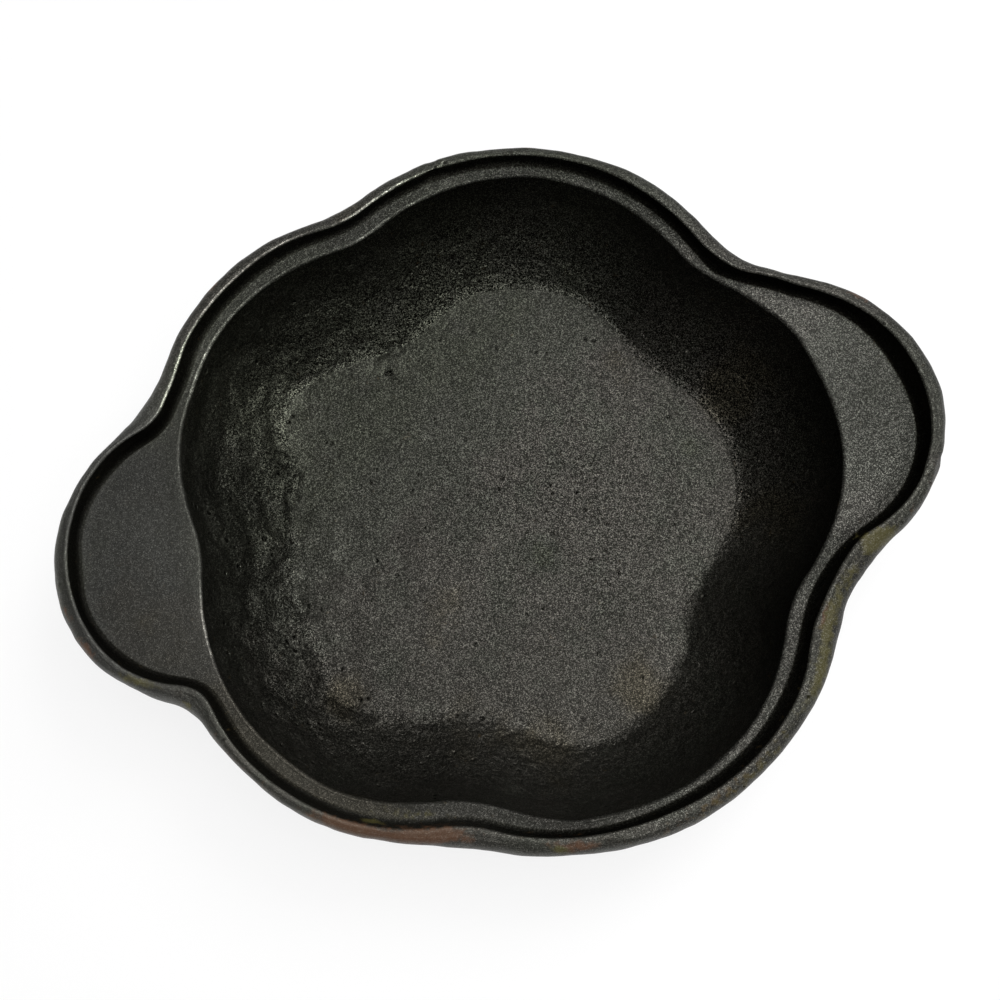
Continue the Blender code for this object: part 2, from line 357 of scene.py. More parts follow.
def profileRings(angles):
    # every ring of the casting as (reaches, level, part, lumpiness, edge wear with painted highlight, painted
    # shade, whose wear or shade)
    def ringOf(arcs, name="mouth", share=1.0):
        return [reach(arcs, angle) + share * stray(name, angle) for angle in angles]

    def stretch(name):
        count, part, lumps = section[name]
        for share in shares(count):
            yield share, part, lumps

    rings = []

    def add(radii, level, part, lumps, wornAndLit=0, shadeAmount=0, place=None):
        rings.append((radii, level, part, lumps, wornAndLit, shadeAmount, place))

    def wallRing(offset, fade):
        # the floor's own shape gives way to the mouth's on the way up
        arcs = bowlOutline(offset)
        return [
            reach(arcs, angle) + fade * stray("mouth", angle) + (1 - fade) ** 2 * stray("floor", angle)
            for angle in angles
        ]

    floorLevel = dish["bowlThickness"]
    floorEdge = wallRing(-dish["wallRun"], 0)
    for share, part, lumps in stretch("floor"):
        outward = 1 - shaping["inward"] * (1 - share) ** shaping["floorCrowding"]
        lumpy = lumps + shaping["floorEdgeLumps"] * share ** 4
        add([r * outward for r in floorEdge], floorLevel, part, lumpy)

    rounding = dish["mouthRounding"]
    inner, turning, steepest = wallCurve(0)
    for share, part, lumps in stretch("wallFoot"):
        offset, level = inner(turning * share)
        fade = (level - floorLevel) / dish["bowlDepth"]
        lumpy = lumps + shaping["wallFootLumps"] * share
        add(wallRing(offset, fade), level, part, lumpy, 0, paintedShade["atWallFoot"] * share, "wall")
    for share, part, lumps in stretch("wall"):
        offset, level = inner(turning + (steepest - turning) * share)
        fade = (level - floorLevel) / dish["bowlDepth"]
        drop = rounding * share ** shaping["dip"]
        lumpy = lumps - shaping["mouthLumps"] * fade ** 4
        # painted shade on the wall, from its foot and stronger towards the mouth
        shadeAmount = paintedShade["atWallFoot"] + paintedShade["moreAtMouth"] * fade ** paintedShade["climb"]
        add(wallRing(offset, fade), level - drop, part, lumpy, 0, shadeAmount, "wall")
    for share, part, lumps in stretch("mouth"):
        turn = math.pi / 2 * share
        lip = ringOf(bowlOutline(rounding * (1 - math.cos(turn))))
        add(lip, seatLevel - rounding * (1 - math.sin(turn)), part, lumps, math.sin(2 * turn), 0, "mouth")

    fillet = dish["footFillet"]
    lean = dish["stepRun"] / dish["rimHeight"]
    seatStart = rings[-1][0]
    seatEnd = ringOf(seatEdge(-fillet), "seat")
    for share, part, lumps in stretch("seat"):
        add(between(seatStart, seatEnd, share), seatLevel, part, lumps)
    corner = ringOf(seatEdge(0), "seat")
    up = ringOf(seatEdge(fillet * lean), "seat")
    count, part, lumps = section["stepFoot"]
    for radii, level in bend((seatEnd, seatLevel), (corner, seatLevel), (up, seatLevel + fillet), count):
        # painted shade in the corner at the step's foot and on the step
        add(radii, level, part, lumps, 0, paintedShade["atStepFoot"], "step")

    edge = dish["rimEdgeRounding"]
    stepTop = ringOf(seatEdge(dish["stepRun"] - edge * lean), "rim")
    stepTopLevel = rimLevel - edge
    for share, part, lumps in stretch("step"):
        level = seatLevel + fillet + (stepTopLevel - seatLevel - fillet) * share
        add(between(up, stepTop, share), level, part, lumps, 0, paintedShade["onStep"], "step")
    rimCorner = ringOf(seatEdge(dish["stepRun"]), "rim")
    rimStart = ringOf(seatEdge(dish["stepRun"] + edge), "rim")
    count, part, lumps = section["rimEdge"]
    edgeRings = bend((stepTop, stepTopLevel), (rimCorner, rimLevel), (rimStart, rimLevel), count)
    for (radii, level), wornAndLit in zip(edgeRings, wearAndHighlight["overRimEdge"]):
        add(radii, level, part, lumps, wornAndLit, 0, "rim")

    crownArcs = seatEdge(dish["stepRun"] + dish["rimLand"])
    crown = between(ringOf(crownArcs, "rim"), ringOf(crownArcs, "foot"), dish["crownFollows"])
    crownLevel = rimLevel - dish["landDrop"]
    for share, part, lumps in stretch("land"):
        add(between(rimStart, crown, share), rimLevel - dish["landDrop"] * share ** 2, part, lumps)
    # the flank leaves the land at the land's own slope
    lipEdge = dish["lipRounding"]
    foot = ringOf(flankFoot(0), "foot")
    footLevel = underLevel + lipEdge
    power = dish["flankPower"]
    slope = 2 * dish["landDrop"] / dish["rimLand"] * dish["flankRun"] / (crownLevel - footLevel)
    for share, part, lumps in stretch("flank"):
        turn = math.pi / 2 * share ** shaping["flankCrowding"]
        outward = math.sin(turn) ** power
        height = max(0, math.cos(turn)) ** power * (1 - slope * outward)
        add(between(crown, foot, outward), footLevel + (crownLevel - footLevel) * height, part, lumps)
    lipIn = ringOf(flankFoot(-lipEdge), "foot")
    count, part, lumps = section["lip"]
    for radii, level in bend((foot, footLevel), (foot, underLevel), (lipIn, underLevel), count):
        add(radii, level, part, lumps)

    root = dish["rootFillet"]
    outer, turning, steepest = wallCurve(dish["bowlThickness"])
    low, high = turning, steepest
    while high - low > 1e-6:
        slope = (low + high) / 2
        low, high = (slope, high) if outer(slope)[1] < underLevel - root else (low, slope)
    wallTop = ringOf(bowlOutline(outer(high)[0]), share=0)
    rootStart = [r + root for r in wallTop]
    for share, part, lumps in stretch("flange"):
        add(between(lipIn, rootStart, share), underLevel, part, lumps)
    for share, part, lumps in stretch("root"):
        turn = math.pi / 2 * share
        radii = [r - root * math.sin(turn) for r in rootStart]
        add(radii, underLevel - root * (1 - math.cos(turn)), part, lumps)
    for share, part, lumps in stretch("underWall"):
        offset, level = outer(high + (turning - high) * share)
        add(ringOf(bowlOutline(offset), share=0), level, part, lumps)
    for share, part, lumps in stretch("underFoot"):
        offset, level = outer(turning * (1 - share))
        add(ringOf(bowlOutline(offset), share=0), level, part, lumps * (1 - share ** 3))
    base = rings[-1][0]
    for share, part, lumps in stretch("base"):
        add([r * (1 - shaping["inward"] * share) for r in base], 0.0, part, lumps)
    return rings


def placeRing(mesh, verts, angles, ring):
    radii, level, part, lumps, wornAndLit, shadeAmount, place = ring
    wearAndHighlightLayer = mesh.verts.layers.float["edgeWearAndHighlight"]
    lumpLayer = mesh.verts.layers.float["lumps"]
    shadeLayer = mesh.verts.layers.float["paintedShade"]
    order = mesh.verts.layers.int["order"]
    for vert in verts:
        index = vert[order]
        angle = angles[index]
        vert.co = (radii[index] * math.cos(angle), radii[index] * math.sin(angle), level)
        vert[lumpLayer] = lumps
        # edge wear with a painted highlight, in the directions listed
        vert[wearAndHighlightLayer] = wornAndLit * min(1, peaks(wearAndHighlight[place], angle)) if place in wearAndHighlight else 0
        vert[shadeLayer] = 0
        # painted shade, stronger or weaker by direction
        if place in paintedShade:
            vert[shadeLayer] = shadeAmount * min(1, paintedShade[place + "Least"] + peaks(paintedShade[place], angle))


def makeCasting():
    # a disc for the middle of the floor, then its edge is extruded ring by ring
    angles = evenAngles(flankFoot(0), dish["pointsRound"])
    rings = profileRings(angles)
    parts = list(iron)
    discRadius = 0.01

    bpy.ops.object.select_all(action="DESELECT")
    bpy.ops.mesh.primitive_circle_add(vertices=dish["pointsRound"], radius=discRadius, fill_type="TRIFAN",
                                      location=(0, 0, dish["bowlThickness"]))
    casting = bpy.context.object
    casting.name = "roasterDish"
    bpy.ops.object.transform_apply(location=True, rotation=True, scale=True)
    bpy.ops.object.mode_set(mode="EDIT")
    bpy.ops.mesh.select_mode(type="VERT")
    mesh = bmesh.from_edit_mesh(casting.data)
    for name in ("edgeWearAndHighlight", "lumps", "paintedShade"):
        mesh.verts.layers.float.new(name)
    order = mesh.verts.layers.int.new("order")
    discEdge = [vert for vert in mesh.verts if vert.co.xy.length > discRadius / 2]
    discEdge.sort(key=lambda vert: math.atan2(vert.co.y, vert.co.x) % (2 * math.pi))
    middle = next(vert for vert in mesh.verts if vert.co.xy.length < discRadius / 2)
    middle.select = False
    for index, vert in enumerate(discEdge):
        vert[order] = index
    placeRing(mesh, discEdge, angles, rings[0])
    mesh.select_flush_mode()
    bmesh.update_edit_mesh(casting.data)
    bpy.ops.mesh.select_all(action="DESELECT")
    bpy.ops.mesh.select_mode(type="EDGE")
    mesh = bmesh.from_edit_mesh(casting.data)
    for line in mesh.edges:
        line.select = line.is_boundary
    bmesh.update_edit_mesh(casting.data)
    for ring in rings[1:]:
        bpy.ops.mesh.extrude_region_move()
        mesh = bmesh.from_edit_mesh(casting.data)
        verts = [vert for vert in mesh.verts if vert.select]
        placeRing(mesh, verts, angles, ring)
        for vert in verts:
            for face in vert.link_faces:
                face.material_index = parts.index(ring[2])
        bmesh.update_edit_mesh(casting.data)
    bpy.ops.mesh.merge(type="CENTER")
    bpy.ops.mesh.select_all(action="SELECT")
    bpy.ops.mesh.normals_make_consistent(inside=False)
    bpy.ops.object.mode_set(mode="OBJECT")
    bpy.ops.object.shade_smooth()
    print("casting lofted:", len(casting.data.vertices), "points,", len(rings), "rings")
    return casting


casting = makeCasting()

# Real relief, in metres. Points move along their normals and are held inside the solid's box.
relief = {
    "lumpSize": 0.0042,
    "lumpHeight": 0.00036,
    "knobSize": 0.0021,
    "knobHeight": 0.00016,
    "knobShift": (7, 3, 1),
    "waveSize": 0.028,
    "waveHeight": 0.00022,
    "waveShift": (2, 5, 9),
    "waveGain": 3,             # even a fairly smooth stretch has the full long waves
    "bowlLumps": 0.6,          # share of the lumps inside the bowl, and in which directions there are more
    "bowlMore": [(150, 40, 1.2), (200, 35, 1.3), (270, 40, 0.3)],
    "bowlBelow": 0.001,        # the bowl's inside is what faces up and lies this far below the seat
    "facesUp": 0.1,
    # places with their radius: a nick in the far rim and a pit in the floor with their depth, and lumpy spots
    "dents": [((0.0001, 0.0660, 0.0272), 0.0011, 0.0010), ((-0.0178, 0.0342, 0.0035), 0.0009, 0.0007)],
    "rough": [((0.0002, 0.0640, 0.0262), 0.0030, 3.5), ((0.0780, -0.0146, 0.0275), 0.0040, 1.8)],
    # along the foot of the wall: direction and spread, mm beyond the floor's edge, width in mm, depth
    "creases": [(162, 10, 1.2, 1.0, 0.0004), (112, 7, 1.2, 0.8, 0.0005), (112, 9, -0.8, 0.9, -0.00015),
                (190, 8, 1.0, 0.8, 0.0002)],
    "creaseTop": 0.012,
    "creaseGrain": 0.0018,
    "creaseRagged": 2,
}


floorArcs = bowlOutline(-dish["wallRun"])


def beyondFloor(co):
    # direction, and way out from the floor's edge in mm
    angle = math.atan2(co.y, co.x)
    return angle, (co.xy.length - reach(floorArcs, angle) - stray("floor", angle)) * 1000


def crease(place, normal):
    if place.z > relief["creaseTop"] or normal.z < relief["facesUp"]:
        return 0.0
    angle, beyond = beyondFloor(place)
    total = 0.0
    for where, spread, middle, width, depth in relief["creases"]:
        total += depth * peaks([(where, spread, 1)], angle) * math.exp(-((beyond - middle) / width) ** 2)
    return total * (1 + relief["creaseRagged"] * noise.noise(place / relief["creaseGrain"]))


def roughen(casting):
    data = casting.data
    strengths = [point.value for point in data.attributes["lumps"].data]
    normals = [vert.normal.copy() for vert in data.vertices]
    knobShift = Vector(relief["knobShift"])
    waveShift = Vector(relief["waveShift"])
    places = []
    for vert, normal, strength in zip(data.vertices, normals, strengths):
        place = vert.co.copy()
        if place.z < seatLevel - relief["bowlBelow"] and normal.z > relief["facesUp"]:
            strength *= relief["bowlLumps"] + peaks(relief["bowlMore"], math.atan2(place.y, place.x))
        for spot, radius, more in relief["rough"]:
            strength += more * math.exp(-((place - Vector(spot)).length / radius) ** 2)
        lump = noise.noise(place / relief["lumpSize"]) * relief["lumpHeight"]
        knob = noise.noise(place / relief["knobSize"] + knobShift) * relief["knobHeight"]
        wave = noise.noise(place / relief["waveSize"] + waveShift) * relief["waveHeight"]
        out = strength * (lump + knob) + min(1, strength * relief["waveGain"]) * wave - crease(place, normal)
        for spot, radius, depth in relief["dents"]:
            out -= depth * math.exp(-((place - Vector(spot)).length / radius) ** 2)
        moved = place + normal * out
        places.extend(min(max(m, l), h) for m, l, h in zip(moved, cadLow, cadHigh))
    data.vertices.foreach_set("co", places)
    data.update()
    print("relief worked in")


roughen(casting)


# Materials
def newGroup(name, inputs, outputs):
    group = bpy.data.node_groups.new(name, "ShaderNodeTree")
    for label, kind, value in inputs:
        socket = group.interface.new_socket(label, in_out="INPUT", socket_type=kind)
        if value is not None:
            socket.default_value = value
    for label, kind in outputs:
        group.interface.new_socket(label, in_out="OUTPUT", socket_type=kind)
    return group


def add(tree, kind, **values):
    node = tree.nodes.new(kind)
    for name, value in values.items():
        setattr(node, name, value)
    return node


def sums(tree, operation, *values):
    node = add(tree, "ShaderNodeMath", operation=operation)
    for socket, value in zip(node.inputs, values):
        if isinstance(value, (int, float)):
            socket.default_value = value
        else:
            tree.links.new(value, socket)
    return node.outputs[0]


def ramp(tree, value, low, high, toLow=0.0, toHigh=1.0):
    node = add(tree, "ShaderNodeMapRange", interpolation_type="SMOOTHSTEP")
    tree.links.new(value, node.inputs["Value"])
    node.inputs["From Min"].default_value = low
    node.inputs["From Max"].default_value = high
    node.inputs["To Min"].default_value = toLow
    node.inputs["To Max"].default_value = toHigh
    return node.outputs["Result"]


def noiseAt(tree, vector, scale, detail=2.0, rough=0.5):
    node = add(tree, "ShaderNodeTexNoise")
    tree.links.new(vector, node.inputs["Vector"])
    node.inputs["Scale"].default_value = scale
    node.inputs["Detail"].default_value = detail
    node.inputs["Roughness"].default_value = rough
    return node.outputs["Fac"]


def cells(tree, vector, scale):
    node = add(tree, "ShaderNodeTexVoronoi", feature="F1")
    tree.links.new(vector, node.inputs["Vector"])
    node.inputs["Scale"].default_value = scale
    return node.outputs


def mixColor(tree, share, first, second, blend="MIX"):
    node = add(tree, "ShaderNodeMix", data_type="RGBA", blend_type=blend)
    for socket, value in ((node.inputs[0], share), (node.inputs[6], first), (node.inputs[7], second)):
        if isinstance(value, (int, float)):
            socket.default_value = value
        elif isinstance(value, (tuple, list)):
            socket.default_value = (*value, 1)
        else:
            tree.links.new(value, socket)
    return node.outputs[2]


# Sand-cast grain: crystals of about a quarter of a millimetre, coarser sand marks, and scattered pits.
# Scales are in cells for each metre.
grain = {
    "crystalScale": 6600,
    "crystalLift": 0.35,
    "dull": 0.35,                  # gloss of the dullest crystals, against 1 for the mean
    "bright": 5.7,                 # and of the brightest
    "rare": 4,                     # the higher, the fewer crystals are bright
    "sandScale": 2000,
    "sandLift": 0.45,
    "sandRange": (0.35, 0.65),
    "sandGloss": (-0.06, 0.08),
    "pitScale": 420,
    "pitWall": (0.05, 0.28),       # a pit's floor and edge, as a share of its cell
    "pitPatches": 160,             # pits come in patches of this scale
    "patchEdge": (0.52, 0.66),
    "crowding": 0.07,
    "deepest": 2,
    "pitRim": (0.5, 0.3),
    "pitRimGloss": 0.3,
    "largePit": (-0.0178, 0.0342, 0.0031),   # the one that stands out on the floor's upper left, in metres
    "largePitWall": (0.00135, 0.0018),
    "largePitDepth": 1.6,
    "largePitScale": 1300,
    "largePitRagged": 0.0018,
    "knobScale": 700,
    "knobLift": 1.5,
    "leastGloss": 0.02,
    "bump": 0.0003,                # the grain's height in metres
}


def makeCastGrain():
    group = newGroup("castGrain",
                     [("Vector", "NodeSocketVector", None), ("Pits", "NodeSocketFloat", 1.0),
                      ("Contrast", "NodeSocketFloat", 1.0), ("Lumps", "NodeSocketFloat", 0.0)],
                     [("Height", "NodeSocketFloat"), ("Gloss", "NodeSocketFloat")])
    start = add(group, "NodeGroupInput")
    end = add(group, "NodeGroupOutput")
    place = start.outputs["Vector"]
    each = add(group, "ShaderNodeSeparateColor")
    group.links.new(cells(group, place, grain["crystalScale"])["Color"], each.inputs[0])
    sand = noiseAt(group, place, grain["sandScale"], 3, 0.6)

    fromPit = cells(group, place, grain["pitScale"])["Distance"]
    pitDepthAndShade = ramp(group, fromPit, *grain["pitWall"], 1, 0)
    crowd = sums(group, "MULTIPLY_ADD", start.outputs["Pits"], grain["crowding"], -grain["crowding"])
    patches = sums(group, "ADD", noiseAt(group, place, grain["pitPatches"], 1), crowd)
    chosen = ramp(group, patches, *grain["patchEdge"])
    pitDepthAndShade = sums(group, "MULTIPLY", pitDepthAndShade, chosen)
    pitDepthAndShade = sums(group, "MULTIPLY", pitDepthAndShade, sums(group, "MINIMUM", start.outputs["Pits"], grain["deepest"]))
    # the large pit on the floor is dug into the bump and darkened with painted shade
    away = add(group, "ShaderNodeVectorMath", operation="DISTANCE")
    group.links.new(place, away.inputs[0])
    away.inputs[1].default_value = grain["largePit"]
    uneven = noiseAt(group, place, grain["largePitScale"], 2)
    uneven = sums(group, "MULTIPLY_ADD", uneven, grain["largePitRagged"], away.outputs["Value"])
    largePit = ramp(group, uneven, *grain["largePitWall"], grain["largePitDepth"], 0)
    pitDepthAndShade = sums(group, "MAXIMUM", pitDepthAndShade, largePit)

    crystalTop = sums(group, "MULTIPLY", each.outputs[1], grain["crystalLift"])
    height = sums(group, "MULTIPLY_ADD", sand, grain["sandLift"], crystalTop)
    height = sums(group, "SUBTRACT", height, pitDepthAndShade)
    height = sums(group, "MULTIPLY", height, start.outputs["Contrast"])
    knobs = noiseAt(group, place, grain["knobScale"], 2, 0.5)
    knobs = sums(group, "MULTIPLY", knobs, start.outputs["Lumps"])
    height = sums(group, "MULTIPLY_ADD", knobs, grain["knobLift"], height)
    group.links.new(height, end.inputs["Height"])

    # crystals and sand marks shine unequally, a pit's edge more and the pit itself hardly at all: painted shade in
    # the pits
    few = sums(group, "POWER", each.outputs[0], grain["rare"])
    spread = sums(group, "MULTIPLY_ADD", few, grain["bright"] - grain["dull"], grain["dull"] - 1)
    hollow = ramp(group, sand, *grain["sandRange"], *grain["sandGloss"])
    gloss = sums(group, "MULTIPLY", sums(group, "ADD", spread, hollow), start.outputs["Contrast"])
    gloss = sums(group, "ADD", gloss, 1.0)
    lit = sums(group, "MULTIPLY", ramp(group, fromPit, *grain["pitRim"]), chosen)
    lit = sums(group, "MULTIPLY", lit, start.outputs["Pits"])
    gloss = sums(group, "MULTIPLY_ADD", lit, grain["pitRimGloss"], gloss)
    # painted shade: a pit's depth takes its gloss away
    gloss = sums(group, "SUBTRACT", gloss, pitDepthAndShade)
    gloss = sums(group, "MAXIMUM", gloss, grain["leastGloss"])
    group.links.new(gloss, end.inputs["Gloss"])
    return group


castGrain = makeCastGrain()

# The old oil film tints what each part reflects: greener far left, browner near right, in places orange
film = {
    "green": (0.955, 1.0, 0.79),
    "even": (0.985, 1.0, 0.845),
    "brown": (1.03, 0.985, 0.865),
    "orange": (1.08, 0.975, 0.74),
    "left": (1.0, 1.0, 0.92),        # on the left handle, and where the film is grey
    "inPaintedShade": (1.0, 1.0, 0.92),
    "leftEdge": (-0.066, -0.056),    # the left handle's flat ends here along X
    "toGreen": (-0.2, -1.2),         # the warmth at which each tint sets in and is full
    "toBrown": (0.0, 0.8),
    "toOrange": (0.9, 1.9),
    "blotchScale": 120,
    "blotchGain": 2.4,
}
# What lies on the iron: painted shade, stains, and rubbed edges with painted highlights
finish = {
    "paintedShade": (0.0006, 0.0005, 0.0003),
    "rust": (0.062, 0.030, 0.016),
    "rustLoss": -0.3,                # the gloss that rust and ochre take away
    "ochre": (0.048, 0.043, 0.015),
    "ochreLoss": -0.35,
    "stainEdge": (0.25, 0.85),
    "stainRagged": 1.6,
    "rubbedAndLit": 5.0,                   # gloss of a fully rubbed edge with its painted highlight
    "rubbedAndLitEdge": (0.08, 0.5),
    "raggedScale": 700,
    "cloudScale": 55,
    "cloudEdge": (0.35, 0.65),
    "sheenEdge": (0.3, 0.7),
    "sheenShift": 0.015,
}


def seasonedIron(name, values):
    material = bpy.data.materials.new("seasonedIron_" + name)
    material.use_nodes = True
    tree = material.node_tree
    shader = tree.nodes["Principled BSDF"]
    place = add(tree, "ShaderNodeTexCoord").outputs["Object"]
    axes = add(tree, "ShaderNodeSeparateXYZ")
    tree.links.new(place, axes.inputs[0])

    def laid(label):
        return add(tree, "ShaderNodeAttribute", attribute_name=label).outputs["Fac"]

    uneven = noiseAt(tree, place, film["blotchScale"], 3, 0.6)
    uneven = sums(tree, "MULTIPLY_ADD", uneven, film["blotchGain"], -film["blotchGain"] / 2)
    warmth = sums(tree, "ADD", laid("warmth"), uneven)
    tint = mixColor(tree, ramp(tree, axes.outputs["X"], *film["leftEdge"]), film["left"], film["even"])
    tint = mixColor(tree, ramp(tree, warmth, *film["toGreen"]), tint, film["green"])
    tint = mixColor(tree, ramp(tree, warmth, *film["toBrown"]), tint, film["brown"])
    tint = mixColor(tree, ramp(tree, warmth, *film["toOrange"]), tint, film["orange"])
    tint = mixColor(tree, values["grey"], tint, film["left"])
    # the film's tint changes under the painted shade
    tint = mixColor(tree, laid("paintedShade"), tint, film["inPaintedShade"], "MULTIPLY")
    tree.links.new(tint, shader.inputs["Specular Tint"])

    grains = add(tree, "ShaderNodeGroup", node_tree=castGrain)
    tree.links.new(place, grains.inputs["Vector"])
    tree.links.new(laid("grainShare"), grains.inputs["Contrast"])
    tree.links.new(laid("lumps"), grains.inputs["Lumps"])
    tree.links.new(laid("pocks"), grains.inputs["Pits"])
    cloud = noiseAt(tree, place, finish["cloudScale"], 5, 0.6)
    ragged = noiseAt(tree, place, finish["raggedScale"], 3, 0.6)

    def patch(label):
        edge = sums(tree, "MULTIPLY_ADD", ragged, finish["stainRagged"], -finish["stainRagged"] / 2)
        return ramp(tree, sums(tree, "ADD", laid(label), edge), *finish["stainEdge"])

    rust = patch("rust")
    ochre = patch("ochre")
    color = mixColor(tree, ramp(tree, cloud, *finish["cloudEdge"]), values["dark"], values["pale"])
    # painted shade: the colour goes near black where the shade is painted
    color = mixColor(tree, laid("paintedShade"), color, finish["paintedShade"])
    color = mixColor(tree, rust, color, finish["rust"])
    color = mixColor(tree, ochre, color, finish["ochre"])
    tree.links.new(color, shader.inputs["Base Color"])

    duller, shinier = values["rough"] + finish["sheenShift"], values["rough"] - finish["sheenShift"]
    sheen = ramp(tree, cloud, *finish["sheenEdge"], duller, shinier)
    tree.links.new(sheen, shader.inputs["Roughness"])

    # painted shade also takes away the gloss
    unshaded = sums(tree, "SUBTRACT", 1, laid("paintedShade"))
    # rubbed edges and painted highlights along the mouth and the rim's inner edge
    wornAndLit = sums(tree, "MULTIPLY", laid("edgeWearAndHighlight"), ragged)
    rubbedAndLit = ramp(tree, wornAndLit, *finish["rubbedAndLitEdge"], 1, finish["rubbedAndLit"])
    # painted light and shade: the gloss is raised or lowered spot by spot and band by band
    paintedLightGain = sums(tree, "ADD", laid("paintedLightAndShade"), 1)
    rusted = sums(tree, "MULTIPLY_ADD", rust, finish["rustLoss"], 1)
    ochred = sums(tree, "MULTIPLY_ADD", ochre, finish["ochreLoss"], 1)
    gloss = grains.outputs["Gloss"]
    for factor in (values["gloss"], unshaded, paintedLightGain, rusted, ochred, rubbedAndLit):
        gloss = sums(tree, "MULTIPLY", gloss, factor)
    tree.links.new(gloss, shader.inputs["Specular IOR Level"])
    bump = add(tree, "ShaderNodeBump")
    bump.inputs["Strength"].default_value = 1.0
    bump.inputs["Distance"].default_value = grain["bump"]
    tree.links.new(grains.outputs["Height"], bump.inputs["Height"])
    tree.links.new(bump.outputs["Normal"], shader.inputs["Normal"])
    return material


def layFloats(casting, name, rule):
    # a number for every point of the casting, which the materials read by its name
    data = casting.data
    layer = data.attributes.new(name, "FLOAT", "POINT")
    layer.data.foreach_set("value", [rule(vert.co) for vert in data.vertices])


seatEdgeArcs = seatEdge(0)
ledgeBottom = seatLevel - 0.001   # points above this lie on the seat, a handle or the rim
rimFrom = 1.2                     # and those further out from the seat's edge than this, in mm, on the rim


def fromSeat(co):
    # direction, and way out from the seat's edge in mm
    angle = math.atan2(co.y, co.x)
    return angle, (co.xy.length - reach(seatEdgeArcs, angle)) * 1000


def rise(value, start, run):
    # from 0 at the start to 1 at the end of the run
    return min(1, max(0, (value - start) / run))


# Stains: direction in degrees, way out from the seat's edge in mm, the spread of each, strength
stains = {
    "rust": [(234, 3.2, 5, 1.3, 1.1), (247, 3.2, 6, 1.5, 1.1), (240, 3.5, 8, 1.5, 0.5), (190, 4, 2, 1.2, 0.8),
             (323, 2.8, 2.4, 0.7, 1.1), (268, 2.2, 4, 1.2, 0.8), (133, 4, 2, 1, 0.7), (15, 4, 2, 1, 0.7),
             (75, 3.2, 7, 0.5, 0.7), (290, 2.5, 14, 1.8, 0.38), (215, 3.5, 10, 1, 0.45), (184, 3.6, 3, 0.9, 0.5),
             (346, 4.2, 4, 1.2, 0.4)],
    "ochre": [(337.8, 4.2, 2.0, 2.6, 1.3), (315, 4.4, 5, 1.5, 0.8), (322, 3.6, 4, 1.4, 0.7),
              (330, 4.2, 7, 1.8, 0.55), (25, 5, 1.2, 0.6, 1.0), (197, 3.4, 2.5, 1.2, 0.8), (204, 4, 1, 0.8, 0.8),
              (183, 4.2, 1.2, 0.6, 0.8), (237, 1.4, 1.8, 0.35, 1.0), (242, -0.4, 6, 1.2, 0.42),
              (266, 2.7, 1.5, 0.9, 1.0), (295, 3, 16, 1.8, 0.45)],
    "lowest": 0.0012,   # how far below the seat they reach, in metres
}


def stain(name):
    def rule(co):
        if co.z < seatLevel - stains["lowest"]:
            return 0.0
        angle, out = fromSeat(co)
        total = 0.0
        for where, way, spread, width, strength in stains[name]:
            away = degreesFrom(where, angle)
            total += strength * math.exp(-(away / spread) ** 2 - ((out - way) / width) ** 2)
        return min(1.0, total)
    return rule


# How strong the grain is. The rim, the left handle and the ledge near it were cast smoother than the rest.
grainShares = {
    "floor": 1.2,
    "floorLoss": 0.42,            # towards the floor's edge
    "floorMiddle": (0.015, 0),
    "floorReach": 0.04,
    "wall": 1.1,
    "wallMore": [(90, 40, 0.7), (10, 30, 0.6), (165, 40, 0.2), (265, 32, -0.4), (325, 20, -0.3)],
    "wallBeyond": 1,              # mm out from the floor's edge
    "mouthLoss": 0.4,             # finer grain towards the mouth, from this level and over this height
    "mouthFrom": 0.012,
    "mouthOver": 0.007,
    "left": 0.32,                 # at the left end, and what is added on the way to the right
    "rightMore": 0.68,
    "leftEnd": -0.062,
    "leftToRight": 0.11,
    "rim": 0.6,
    "rimMore": [(120, 30, 0.3)],
    "handlesAt": (-0.056, 0.058),
    "handlesMost": 0.8,
    "ledge": 0.8,
    "ledgeLeast": 0.5,
    "ledgeLess": [(228, 24, 0.3)],
    "ledgeMore": [(90, 40, 0.25)],
}


def grainShare(co):
    g = grainShares
    angle, out = fromSeat(co)
    if co.z < ledgeBottom and out < 0:
        if beyondFloor(co)[1] > g["wallBeyond"]:
            share = g["wall"] + peaks(g["wallMore"], angle)
            return share * (1 - g["mouthLoss"] * rise(co.z, g["mouthFrom"], g["mouthOver"]))
        away = (co.xy - Vector(g["floorMiddle"])).length
        return g["floor"] - g["floorLoss"] * rise(away, 0, g["floorReach"])
    coarse = g["left"] + g["rightMore"] * rise(co.x, g["leftEnd"], g["leftToRight"])
    if out > rimFrom:
        return g["rim"] * coarse + peaks(g["rimMore"], angle)
    if co.x < g["handlesAt"][0] or co.x > g["handlesAt"][1]:
        return min(g["handlesMost"], coarse)
    coarse = max(g["ledgeLeast"], g["ledge"] * coarse)
    return coarse * (1 - peaks(g["ledgeLess"], angle)) + peaks(g["ledgeMore"], angle)


